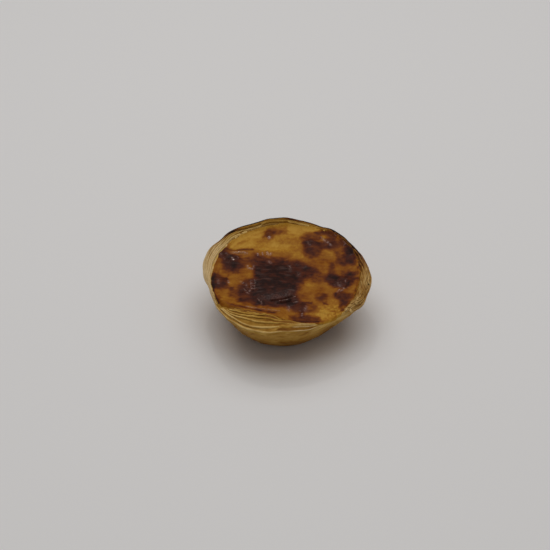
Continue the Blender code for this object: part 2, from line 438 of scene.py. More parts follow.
def makeRimLeaves():
    size = rimLeaves
    section = size["section"]
    meshes = []
    for leaf in range(size["leaves"]):
        mesh, along, up = gridMesh("leaf", size["columns"], len(section))
        turn = along * math.tau
        corner = np.rint(up * len(section)).astype(int) % len(section)
        reach = np.array([s[0] for s in section])[corner]
        side = np.array([s[1] for s in section])[corner]
        circle = np.stack([33 * np.cos(turn), 33 * np.sin(turn), 0 * turn], 1)
        drift = 0.5 * wobble(circle, 11.0, 10) + 0.5 * wobble(circle, 9.0, 11 + leaf)
        drift += 0.22 * wobble(circle, 3.0, 30 + leaf)
        drift += 1.1 * byAngle(turn, fanColour) * wobble(circle, 13.0, 190 + leaf)
        outer = leaf / (size["leaves"] - 1)
        sweep = byAngle(turn, size["sweep"]) * (1 - outer ** 3)
        share = (leaf + 0.55 + drift * (1 - 0.6 * outer ** 4)) / size["leaves"] + sweep
        radius, height, width = rimLine(turn, np.clip(share, 0.02 + 0.001 * leaf, 0.98 + 0.001 * leaf))
        pitch = width / size["leaves"]
        torn = byAngle(turn, size["torn"])
        tear = 1.0 + 0.45 * wobble(circle, 7.0, 50 + leaf) + 0.25 * torn * wobble(circle, 1.8, 70 + leaf)
        tear -= 1.1 * torn * smoothStep(0.12, 0.35, wobble(circle, 1.7, 130 + leaf))
        tear += 0.12 * wobble(circle, 0.8, 150 + leaf)
        slope = byAngle(turn, size["lean"]) - byAngle(turn, size["splay"]) * share
        slope = np.radians(slope + 14 * wobble(circle, 8.0, 90 + leaf))
        tall = np.clip(byAngle(turn, size["height"]) * pitch, 0.08, 1.5)
        tall = tall * np.clip(tear, 0.05, 1.8) * smoothStep(-0.06, 0.06, share)
        covered = smoothStep(creepAt(turn) + 0.13, creepAt(turn) + 0.03, share)
        tall = tall * (1 - covered) - 0.5 * covered
        thick = np.clip(0.95 * pitch, 0.14, 1.3) * (1 - 0.75 * covered)
        out = np.where(reach > 0, reach * tall, reach * size["rootDepth"])
        out = np.where(covered > 0.5, reach * 0.4 - 0.9, out)
        radius = radius + np.cos(slope) * out + np.sin(slope) * side * thick
        height = height + np.sin(slope) * out - np.cos(slope) * side * thick
        points = np.stack([radius * np.cos(turn), radius * np.sin(turn), height], 1)
        place(mesh, points)
        tip = smoothStep(0.15, 0.90, reach)
        paintedGapShade = byAngle(turn, size["paintedGapShade"])
        # painted shade: the roots between leaves are painted darker and the edges paler
        bake = 0.16 + paintedGapShade * (0.5 - tip) + rimBake(turn, share)
        bake += (0.06 + 0.4 * paintedGapShade) * wobble(circle, 4.5, 110 + leaf)
        bake += 0.24 * torn * wobble(circle, 2.0, 170 + leaf)
        stain = rimStain(turn, share)
        paint(mesh, "bake", bake)
        paint(mesh, "stain", np.clip(stain - 0.30 * tip, 0, 1))
        paint(mesh, "grain", np.stack([points[:, 0], points[:, 1], out + 5.0 * leaf], 1))
        meshes.append(mesh)
    return weldMeshes("rimLeaves", meshes)


# loose flakes on the rim

looseFlakes = {
    "count": 22,
    # degrees and how thickly the flakes lie there
    "thickly": ((5, 1.0), (25, 0.2), (40, 0.0), (318, 0.0), (326, 1.0)),
    "length": (2.4, 5.6),       # mm
    "width": (1.0, 2.2),
    "thickness": 0.22,
    "curl": (-0.10, 0.12),
    "lift": 0.06,
}


def makeLooseFlakes():
    size = looseFlakes
    random = np.random.default_rng(23)
    bm = bmesh.new()
    bakeLayer = bm.verts.layers.float.new("bake")
    stainLayer = bm.verts.layers.float.new("stain")
    grainLayer = bm.verts.layers.float_vector.new("grain")
    laid = 0
    while laid < size["count"]:
        turn, share, chance = random.uniform(0, 1, 3) * (math.tau, 0.95, 1.0)
        length = random.uniform(*size["length"])
        width = random.uniform(*size["width"])
        curl = random.uniform(*size["curl"])
        heading, tilt, roll = random.normal(0, 1, 3) * (0.22, 0.07, 0.12)
        shade = random.uniform(-0.14, 0.10)
        if chance > byAngle(np.array(turn), size["thickly"]) or share < creepAt(np.array([turn]))[0] + 0.1:
            continue
        radius, height = overRim(turn, share)
        aheadR, aheadZ = overRim(turn, share + 0.02)
        slope = math.atan2(aheadZ - height, aheadR - radius)
        bake = float(rimBake(np.array([turn]), np.array([share]))[0])
        made = bmesh.ops.create_grid(bm, x_segments=6, y_segments=2, size=0.5)["verts"]
        for vertex in made:
            along, across = vertex.co.x * 2, vertex.co.y * 2
            narrow = 1 - 0.55 * along ** 2
            bend = curl * along ** 2 + 0.1 * across ** 2
            vertex.co = (along * length / 2, across * width / 2 * narrow, bend)
        faces = list({face for vertex in made for face in vertex.link_faces})
        shell = bmesh.ops.solidify(bm, geom=faces, thickness=size["thickness"])["geom"]
        corners = made + [g for g in shell if isinstance(g, bmesh.types.BMVert)]
        corners = list(dict.fromkeys(corners))
        lay = Matrix.Rotation(heading, 4, "Z") @ Matrix.Rotation(tilt, 4, "Y") @ Matrix.Rotation(roll, 4, "X")
        lay = Matrix.Translation((0, 0, size["lift"])) @ lay
        lay = Matrix.Translation((radius, 0, height)) @ Matrix.Rotation(-slope, 4, "Y") @ (
            Matrix.Rotation(math.pi / 2, 4, "Z") @ lay)
        lay = Matrix.Rotation(turn, 4, "Z") @ lay
        lay = Matrix.Translation(axisPoint) @ Matrix.Scale(mm, 4) @ lay
        for vertex in corners:
            flat = vertex.co.copy()
            vertex[bakeLayer] = 0.10 + bake + shade
            vertex[stainLayer] = 0.45
            vertex[grainLayer] = (flat.x + 9 * laid, flat.y * 2, flat.z + laid)
        bmesh.ops.transform(bm, matrix=lay, verts=corners)
        laid += 1
    mesh = bpy.data.meshes.new("looseFlakes")
    bm.to_mesh(mesh)
    bm.free()
    return weldMeshes("looseFlakes", [mesh])


# the custard

custard = {
    "cells": 300,
    "middle": 22.1,
    "creepFrom": 0.89,       # share of the way out where the skin starts to climb the rim
    "film": 0.16,            # mm
    "spill": 0.55,           # mm more where the custard ran over
    "meniscus": 0.7,         # mm
    "sides": ((0.95, 1.85), (0.86, 4.2), (0.76, 8.0), (0.66, 13.0), (0.58, 17.2)),
    "ripples": ((11.0, 0.24), (4.5, 0.08), (1.6, 0.02)),     # size across and height, in mm
    "wrinkles": 0.05,
    # swollen skin: middle x and y, half length, half width, turn, height
    "blisters": (
        (-3.5, -1.5, 16.5, 14.0, -15, 0.80),
        (-23.5, 12.5, 5.5, 5.0, 30, 0.75),
        (-28.0, -3.0, 4.5, 4.0, 0, 0.70),
        (-6.5, 31.0, 2.4, 2.0, 0, 0.60),
        (14.0, 21.5, 5.2, 6.5, 0, 0.75),
        (22.5, 26.0, 5.5, 3.0, -45, 0.50),
        (30.0, 15.5, 3.2, 6.0, 5, 0.45),
        (27.0, -2.0, 4.8, 4.6, 25, 0.75),
        (26.5, -11.5, 3.8, 2.8, 0, 0.50),
        (17.0, -12.3, 3.0, 2.4, -20, 0.45),
        (8.0, -20.0, 5.4, 3.4, -5, 0.60),
        (-19.5, 17.9, 3.6, 1.1, 0, 0.45),
        (-14.8, 7.8, 1.3, 1.5, 0, 0.40),
        (-1.0, 22.5, 9.0, 4.0, -5, -0.35),
        (15.0, -5.0, 5.5, 5.0, 0, -0.40),
        (19.0, 13.0, 5.0, 3.5, 10, -0.35),
    ),
    # scorch marks: depth of colour, softness of the edge in mm, reach of the halo in mm, outline
    "scorches": (
        (0.82, 1.3, 3.0, ((-12.5, 9.5), (-8, 10.3), (-3, 9.8), (1, 8.5), (4, 6.5), (6, 2.5), (6.6, -1),
                          (6.6, -5), (6.2, -8), (6.0, -12), (6.4, -15.8), (4.8, -18.2), (-4, -19.2),
                          (-12, -18.8), (-13.8, -14), (-12.8, -9), (-12.3, -4), (-12.8, 0), (-13, 5))),
        (0.50, 2.2, 0.5, ((-12, 8), (-6, 9), (-2, 7), (-1, 1), (1, -4), (4, -9), (4, -14), (-4, -17),
                          (-12, -16.5), (-12, -8), (-11.8, 0))),
        (0.66, 1.5, 2.8, ((-2, 12), (2, 12.6), (7, 11.8), (11.5, 9.4), (14.6, 6.6), (15.2, 4.8),
                          (13, 2.4), (10.5, 0.2), (8, -2.5), (5, -3), (3, 2))),
        (0.25, 2.2, 0.5, ((0, 10), (6, 9.6), (11, 7.4), (13, 5), (11, 3), (8, 0), (4, 2))),
        (0.52, 1.6, 2.4, ((-16.5, 12), (-14, 14.6), (-9, 15.3), (-3, 15), (0.5, 13), (2, 11), (0, 9),
                          (-12, 9), (-14.5, 10))),
        (0.58, 1.0, 2.2, ((-19.3, -8), (-18.6, -4.5), (-17, -1.2), (-13, -0.5), (-11.5, -6),
                          (-11.5, -12), (-11, -17.2), (-16, -17), (-19, -16.2), (-19.5, -12))),
        (0.26, 2.5, 1.0, ((13, 5), (16.5, 3.5), (21, 2), (21, -1), (16, -2.5), (12, -1))),
        (0.70, 1.2, 3.2, ((-29.5, 17), (-28.5, 19.3), (-25, 18.8), (-24, 16.8), (-21, 15.5),
                          (-20.2, 13), (-19.8, 9), (-20, 6.5), (-22.5, 4.8), (-25, 6), (-26.8, 8),
                          (-27.2, 12), (-28.8, 14.5))),
        (0.45, 1.8, 0.5, ((-26.5, 16), (-24, 15), (-21, 11), (-22, 7), (-25.5, 9))),
        (0.34, 1.8, 1.5, ((-31, 20), (-30, 24), (-27, 24.5), (-25.5, 21), (-27, 18.5), (-31, 14))),
        (0.36, 1.5, 1.0, ((-20, 14), (-17, 13.5), (-16, 10), (-17.5, 7), (-20, 7))),
        (0.70, 1.1, 2.2, ((-32.6, -1), (-31.0, 1.8), (-28, 1.6), (-26, 0), (-25.2, -3), (-25.5, -5),
                          (-28, -6.6), (-31.5, -6.4))),
        (0.42, 1.0, 1.2, ((-27, -4), (-25, -5), (-22.3, -7.2), (-23, -8.6), (-26, -7.6))),
        (0.27, 2.2, 1.5, ((-24, -8), (-20, -7.5), (-18.5, -12), (-19, -16), (-22, -14), (-24.5, -11))),
        (0.44, 1.2, 2.0, ((-8.6, 29), (-8, 32), (-6, 33.6), (-4.2, 32), (-4.6, 29.5), (-6.5, 27.8))),
        (0.24, 1.8, 1.0, ((-5, 31), (-5, 34.8), (1.5, 35), (2, 31.5))),
        (0.62, 1.6, 2.4, ((9.8, 22), (10.5, 24.5), (13, 25.5), (16, 24.5), (17, 22), (17, 18),
                          (15.5, 15.2), (13, 14.8), (11, 16), (9.8, 19))),
        (0.42, 2.0, 2.0, ((9, 28), (12, 30.5), (16, 30.3), (17.5, 27), (16.5, 23), (10.5, 23))),
        (0.58, 1.3, 2.0, ((15, 30.6), (20.5, 31.5), (24.5, 29.5), (25, 25), (24, 21), (22, 19.6),
                          (17, 20.5), (16.2, 23.5), (20, 24.5), (21.2, 27), (19, 28.8))),
        (0.56, 1.5, 2.4, ((24.5, 31.5), (28, 30), (31, 25.5), (33.2, 20), (34, 14), (32.5, 9.6),
                          (30, 8.6), (27, 9.6), (28, 15), (28, 20), (27, 25), (25.5, 28))),
        (0.45, 1.3, 0.5, ((28.8, 22), (32, 21), (33.4, 15), (31.6, 10.4), (28.8, 10), (29, 15))),
        (0.30, 1.8, 1.0, ((23.5, 24), (27, 24), (27, 10), (24.5, 10))),
        (0.30, 1.4, 1.0, ((20.5, 12), (22.5, 12), (23.5, 5), (21.5, 3.5))),
        (0.64, 1.1, 2.6, ((20.5, 3), (22.5, 4.5), (24, 2.5), (26, 1), (27.5, 3), (30, 4.5), (32.6, 4),
                          (32.8, 0), (30.5, -3), (28.5, -6), (26.5, -6.5), (23.5, -5.5), (20.8, -4),
                          (20.3, 0))),
        (0.40, 1.4, 0.5, ((22.5, 1), (25.5, 0), (29, 2), (28, -4), (25, -4.5), (22.5, -2))),
        (0.56, 1.2, 2.0, ((23, -10.5), (25, -9.8), (29, -10.5), (30, -12), (28.5, -14), (27, -17.5),
                          (25.5, -17), (25, -14), (23, -12.5))),
        (0.34, 0.5, 0.8, ((24.4, -16.5), (26, -16.5), (26, -21.6), (24.6, -21.6))),
        (0.37, 1.0, 1.4, ((14, -11.5), (16.5, -9.5), (19, -10.2), (19.3, -13), (17, -14.6),
                          (15, -14.2))),
        (0.46, 0.6, 0.8, ((17.8, -15), (19.3, -14.9), (19.4, -16.6), (18, -16.7))),
        (0.60, 1.2, 2.0, ((3, -16.5), (8.8, -17.3), (9, -20), (8.3, -22.8), (5, -22.3), (2.6, -19.5))),
        (0.38, 1.2, 1.5, ((8, -16), (12.5, -16), (14.6, -19.5), (13.5, -22), (9, -22))),
        (0.46, 1.1, 1.6, ((3, -25), (8, -23.8), (11, -24.6), (15.2, -25.5), (15.5, -28.6),
                          (9, -29.3), (3, -28))),
    ),
    "strands": ((60, 0), (85, 1), (165, 1), (185, 0)),
    "overflow": ((17.5, -22.5), (20, -20.5), (23, -20.5), (23, -23), (20, -26), (17.5, -26.0)),
    # thin burnt lines, and one painted shadow under a fold: depth of colour, half width in mm, then the
    # points they run through
    "burntAndShadowLines": (
        (0.90, 0.80, ((-30.8, 2.2), (-31.5, -1), (-31.3, -5), (-30.8, -7.5))),
        (0.75, 0.50, ((-31.0, -6), (-30.6, -10), (-29.4, -14), (-28.4, -17))),
        (0.62, 0.55, ((-26, 19.6), (-22, 19.3), (-18, 19.9), (-14, 20.2))),
        (0.60, 0.60, ((24, 32), (28, 29.5), (31.5, 24), (33.6, 18), (34.2, 13.5))),
        (0.70, 0.45, ((29.6, -1.2), (29.1, -4), (27.6, -6.2))),
        (0.62, 0.40, ((8.4, -16.2), (12.4, -16.3))),
        (0.66, 0.60, ((4.5, -28.3), (9, -28.9), (14.8, -28.5))),
        (0.70, 0.35, ((-8.5, -17.9), (-5.2, -17.8))),
        (0.85, 0.70, ((-7.4, 0.4), (-6.6, 0.2))),
        (0.60, 0.45, ((23.3, -9.5), (23.1, -11.5))),
        (0.35, 0.45, ((-24.6, 2.5), (-25.3, 0.5), (-25.2, -2.5))),
        # a painted shadow under the fold in front of the big scorch
        (0.58, 0.80, ((-19.0, -20.2), (-14.5, -22.0), (-9.0, -23.2), (-4.0, -23.8))),
        (0.35, 0.50, ((-24.0, -18.2), (-20.0, -20.6), (-16.0, -22.4))),
    ),
    # painted glints and sheen on bubbles, wrinkles and scorch marks, partly pale dry skin: strength, half
    # width, then the points it runs through
    "paintedGlintsAndPaleSkin": (
        (0.32, 0.45, ((-16.0, -20.0), (-10.5, -21.6), (-5.3, -21.7), (-1.9, -22.6))),
        (0.95, 0.50, ((-22.9, 13.2), (-22.6, 12.2))),
        (0.50, 0.32, ((-20.7, 14.6), (-20.4, 13.8))),
        (0.18, 0.90, ((-28.4, 16.2), (-28.2, 15.0))),
        (0.20, 0.80, ((-25.6, 16.6), (-25.2, 15.0))),
        (0.22, 0.60, ((-26.9, 13.6), (-26.7, 12.6))),
        (0.45, 0.80, ((-23.0, 17.6), (-20.0, 17.8), (-17.0, 17.6))),
        (0.22, 0.75, ((-29.0, -1.2), (-28.8, -4.4))),
        (0.50, 0.45, ((-24.4, -2.0), (-24.3, -3.2))),
        (0.50, 0.45, ((-16.1, 9.2), (-15.6, 7.0), (-13.8, 6.3), (-13.1, 7.6), (-13.3, 9.0))),
        (0.50, 0.50, ((-11.6, 17.4), (-11.3, 16.4))),
        (0.45, 0.40, ((-9.4, 17.9), (-9.1, 16.9))),
        (0.40, 0.65, ((-7.4, 18.2), (-6.4, 16.5), (-5.4, 17.6))),
        (0.40, 0.80, ((-6.4, 12.0), (-5.8, 11.1))),
        (0.35, 0.30, ((-14.3, -1.6), (-12.6, -2.0), (-12.5, -4.0), (-14.0, -4.2), (-14.4, -2.6))),
        (0.35, 0.30, ((-14.2, -5.0), (-12.6, -5.2), (-12.6, -7.2), (-14.0, -7.2), (-14.4, -6.0))),
        (0.45, 0.55, ((-14.9, -8.3), (-14.9, -8.9))),
        (0.50, 0.40, ((-17.6, -7.4), (-16.4, -9.2), (-15.2, -10.8))),
        (0.25, 0.60, ((-16.6, -4.4), (-15.8, -6.2))),
        (0.25, 0.60, ((-18.8, -2.4), (-18.0, -3.4))),
        (0.50, 0.30, ((-9.7, -16.2), (-9.4, -18.1))),
        (0.30, 0.50, ((-11.1, -14.4), (-10.3, -16.1))),
        (0.42, 0.35, ((-1.6, -15.7), (1.8, -14.6))),
        (0.50, 0.35, ((4.6, -13.0), (5.2, -12.3))),
        (0.30, 0.35, ((4.7, -16.0), (6.2, -15.4))),
        (0.26, 0.80, ((3.0, 8.6), (3.4, 5.4))),
        (0.20, 1.00, ((7.2, 3.8), (7.0, 1.8))),
        (0.13, 2.60, ((-9.0, -13.6), (-2.0, -12.4), (2.0, -10.8))),
        (0.40, 0.50, ((17.8, 27.4), (20.0, 24.8), (22.4, 22.2))),
        (0.28, 0.60, ((28.3, 24.2), (28.7, 22.0))),
        (0.22, 0.80, ((11.3, 25.0), (12.6, 22.0))),
        (0.24, 0.60, ((24.2, 29.6), (24.6, 27.8))),
        (0.40, 0.40, ((27.8, -1.8), (28.0, -2.8))),
        (0.22, 1.00, ((24.6, -3.4), (25.4, -5.0))),
        (0.55, 0.35, ((26.8, -6.4), (26.3, -7.4), (25.4, -8.4))),
        (0.50, 0.50, ((24.9, -7.4), (24.0, -9.0))),
        (0.50, 0.40, ((8.0, -23.4), (8.1, -24.5))),
        (0.55, 0.70, ((-6.2, 28.9), (-6.3, 28.3))),
        (0.30, 0.80, ((10.0, -19.0), (9.6, -21.5))),
        (0.30, 0.80, ((2.4, -19.0), (2.2, -21.5))),
    ),
    # folds in the skin: height (below 0 for a crack), half width, then the points it runs through
    "folds": (
        (0.30, 0.50, ((-19.5, -19.0), (-15.0, -20.3), (-10.5, -21.7), (-5.3, -21.8), (-1.9, -22.7))),
        (-0.22, 0.45, ((-17.0, -20.8), (-12.0, -22.8), (-6.0, -23.2), (-2.5, -23.8))),
        (0.25, 0.50, ((-24.5, -14.5), (-21.5, -17.5), (-17.5, -19.5))),
        (-0.75, 0.42, ((-5.0, -15.2), (-2.0, -14.7), (0.8, -13.7), (3.6, -12.2))),
        (0.38, 0.55, ((-3.0, -16.3), (0.5, -15.1), (3.0, -14.0), (5.6, -12.3))),
        (-0.45, 0.35, ((-2.5, -17.2), (0.5, -16.5), (3.4, -15.2))),
        (-0.30, 0.45, ((-25.5, 20.2), (-20.0, 19.6), (-14.5, 20.1))),
        (0.22, 0.50, ((-9.6, -12.5), (-9.0, -15.0), (-9.4, -18.0))),
        (0.18, 0.45, ((-11.8, -13.0), (-11.0, -15.5), (-11.4, -17.3))),
        (0.30, 0.45, ((27.8, -5.2), (26.2, -7.4), (24.2, -9.4))),
        (0.28, 0.55, ((17.8, 27.8), (20.0, 25.6), (22.6, 23.6))),
        (0.24, 0.45, ((-17.6, -8.0), (-16.4, -10.0), (-14.6, -11.6))),
        (-0.35, 0.50, ((24.9, -16.0), (25.4, -19.5), (25.2, -21.5))),
    ),
    # small bubbles: middle x and y of the patch, its reach, how many, and their size
    "bubbles": (
        (-15.5, -6.0, 5.0, 20, 1.15),
        (-9.0, 17.3, 4.0, 9, 1.0),
        (-23.0, 14.0, 3.5, 8, 0.9),
        (3.0, 6.5, 3.5, 6, 0.8),
        (26.5, -4.0, 4.0, 10, 0.9),
        (20.5, -23.0, 4.8, 40, 1.0),
        (8.5, -23.0, 4.0, 8, 0.8),
        (0.0, 10.0, 26.0, 40, 0.60),
        (5.0, -8.0, 26.0, 40, 0.55),
    ),
}


def ellipseReach(x, y, spot):
    # 0 in the middle of a spot and 1 on its outline
    turn = math.radians(spot[4])
    dx = x - spot[0]
    dy = y - spot[1]
    along = (dx * math.cos(turn) + dy * math.sin(turn)) / spot[2]
    across = (dy * math.cos(turn) - dx * math.sin(turn)) / spot[3]
    return np.hypot(along, across)


def lineDistance(x, y, points):
    nearest = np.full_like(x, 1e6)
    for (ax, ay), (bx, by) in zip(points, points[1:]):
        span = (bx - ax) ** 2 + (by - ay) ** 2
        t = np.clip(((x - ax) * (bx - ax) + (y - ay) * (by - ay)) / span, 0, 1)
        nearest = np.minimum(nearest, np.hypot(x - ax - t * (bx - ax), y - ay - t * (by - ay)))
    return nearest


def bubbleRelief(x, y):
    # height of the small bubbles, and the pale paint on them: a pale rim on burst ones and a painted
    # highlight on the far half of whole ones
    random = np.random.default_rng(11)
    relief = np.zeros_like(x)
    pale = np.zeros_like(x)
    for middleX, middleY, spread, count, size in custard["bubbles"]:
        for number in range(count):
            bearing = random.uniform(0, math.tau)
            out = spread * math.sqrt(random.uniform(0, 1))
            across = size * random.uniform(0.35, 1.0)
            burst = random.uniform(0, 1) < 0.3
            bubbleX = middleX + out * math.cos(bearing)
            bubbleY = middleY + out * math.sin(bearing)
            close = np.abs(x - bubbleX) + np.abs(y - bubbleY) < 2.6 * across
            reach = np.hypot(x[close] - bubbleX, y[close] - bubbleY) / across
            ring = np.exp(-((reach - 0.85) / 0.28) ** 2)
            dome = np.sqrt(np.clip(1 - reach ** 2, 0, 1))
            moat = np.exp(-((reach - 1.35) / 0.25) ** 2)
            top = 0.26 * ring - 0.10 * dome if burst else 0.30 * dome
            relief[close] += across * (top - 0.06 * moat)
            # a painted highlight on the far half of each whole bubble; burst ones get a pale rim instead
            shine = np.exp(-((reach - 0.5) / 0.5) ** 2) * (y[close] > bubbleY)
            pale[close] = np.maximum(pale[close], 0.5 * ring if burst else 0.8 * shine)
    return relief, pale


def outlineDistance(x, y, outline):
    # mm from an outline, below 0 inside it
    inside = np.zeros(len(x), bool)
    for (ax, ay), (bx, by) in zip(outline, outline[1:] + outline[:1]):
        if ay != by:
            crossing = ((ay > y) != (by > y)) & (x < (bx - ax) * (y - ay) / (by - ay) + ax)
            inside ^= crossing
    away = lineDistance(x, y, outline + outline[:1])
    return np.where(inside, -away, away)


def warped(x, y, amounts):
    # the same places pushed about a little, so that nothing drawn there has a clean edge
    flat = np.stack([x, y, 0 * x], 1)
    for number, (push, size) in enumerate(amounts):
        x = x + push * wobble(flat, size, 40 + number)
        y = y + push * wobble(flat, size, 50 + number)
    return x, y


def scorchField(x, y, share, turn):
    flat = np.stack([x, y, 0 * x], 1)
    warpX, warpY = warped(x, y, ((0.8, 4.5), (0.55, 1.7), (0.25, 0.7)))
    pale = np.ones_like(x)
    for depth, soft, reach, outline in custard["scorches"]:
        away = outlineDistance(warpX, warpY, outline)
        pale *= 1 - depth * smoothStep(soft, -soft, away)
        pale *= 1 - 0.42 * depth * smoothStep(reach, 0, away)
    warpX, warpY = warped(x, y, ((0.3, 3.0), (0.2, 1.0)))
    for depth, halfWidth, points in custard["burntAndShadowLines"]:
        away = lineDistance(warpX, warpY, points) / halfWidth
        pale *= 1 - depth * np.exp(-away ** 2)
    border = smoothStep(0.86, 0.94, share) * (1 - smoothStep(0.975, 1.0, share))
    border *= np.clip(0.55 + 1.4 * wobble(flat, 3.0, 16), 0, 1.3)
    pale *= 1 - border * byAngle(turn, ((20, 0.4), (60, 0.0), (165, 0.1), (205, 0.25), (270, 0.2),
                                        (300, 0.1), (345, 0.4)))
    streaks = wobble(flat * (0.45, 1.0, 1.0), 3.0, 7) + 0.6 * wobble(flat * (0.5, 1.0, 1.0), 1.2, 8)
    ground = 0.30 + 0.18 * wobble(flat, 6.0, 9) + 0.10 * streaks + 0.05 * wobble(flat, 0.8, 12)
    ground -= 0.18 * smoothStep(10, 26, y) + 0.08 * smoothStep(0.9, 0.96, share)
    # fine strands that follow the rim at the back left
    bands = wobble(np.stack([share * 42, turn * 5, 0 * x], 1), 1.3, 15)
    ground += 0.16 * bands * smoothStep(0.68, 0.86, share) * byAngle(turn, custard["strands"])
    ground -= 0.12 * np.exp(-(ellipseReach(x, y, (-19, 27, 11, 6, 35))) ** 2)
    ground -= 0.14 * np.exp(-(ellipseReach(x, y, (-2, 35, 12, 2.5, 0))) ** 2)
    ground += 0.10 * np.exp(-(ellipseReach(x, y, (19, 8, 6, 8, 0))) ** 2)
    ground += 0.16 * np.exp(-(ellipseReach(x, y, (-13, 17, 5, 2.5, 0))) ** 2)
    ground -= 0.16 * smoothStep(0.93, 0.97, share) * byAngle(turn, ((294, 0), (302, 1), (316, 1), (322, 0)))
    overflow = np.exp(-(outlineDistance(x, y, custard["overflow"]).clip(0) / 3.4) ** 2)
    ground += overflow * (0.20 * wobble(flat, 1.1, 17) - 0.20)
    scorch = 1 - pale * (1 - np.clip(ground, 0, 1))
    patchy = 0.22 * wobble(flat, 3.4, 13) + 0.17 * wobble(flat * (0.7, 1.0, 1.0), 1.3, 14)
    return scorch + patchy * smoothStep(0.2, 0.5, scorch) * (1 - 0.4 * smoothStep(0.7, 0.95, scorch))


def glintAndPaleSkinField(x, y):
    # painted glints and sheen, partly pale dry skin, along the listed strokes
    x, y = warped(x, y, ((0.3, 2.0), (0.15, 0.7)))
    skin = np.zeros_like(x)
    for strength, halfWidth, points in custard["paintedGlintsAndPaleSkin"]:
        away = lineDistance(x, y, points) / halfWidth
        skin = np.maximum(skin, 0.85 * strength * np.exp(-away ** 2))
    # the painted glints break up over the fine texture of the skin
    flat = np.stack([x, y, 0 * x], 1)
    return skin * (0.45 + 0.85 * smoothStep(-0.25, 0.30, wobble(flat, 0.75, 63)))


def custardRelief(x, y, scorch):
    flat = np.stack([x, y, 0 * x], 1)
    relief = np.zeros_like(x)
    for spot in custard["blisters"]:
        reach = np.minimum(ellipseReach(x, y, spot), 1)
        relief += spot[5] * (1 - reach ** 2) ** 2 * (1 + 1.2 * reach ** 2)
    for number, (size, height) in enumerate(custard["ripples"]):
        relief += height * wobble(flat, size, 20 + number)
    wrinkle = 1 - np.abs(wobble(flat * (0.5, 1.5, 1.0), 3.6, 24)) * 2.2
    relief += custard["wrinkles"] * smoothStep(0.55, 0.95, scorch) * np.clip(wrinkle, 0, 1) ** 2
    sway = 0.35 * wobble(flat, 2.5, 26)
    for height, halfWidth, points in custard["folds"]:
        away = lineDistance(x + sway, y + sway, points) / halfWidth
        relief += height * np.exp(-away ** 2)
    return relief


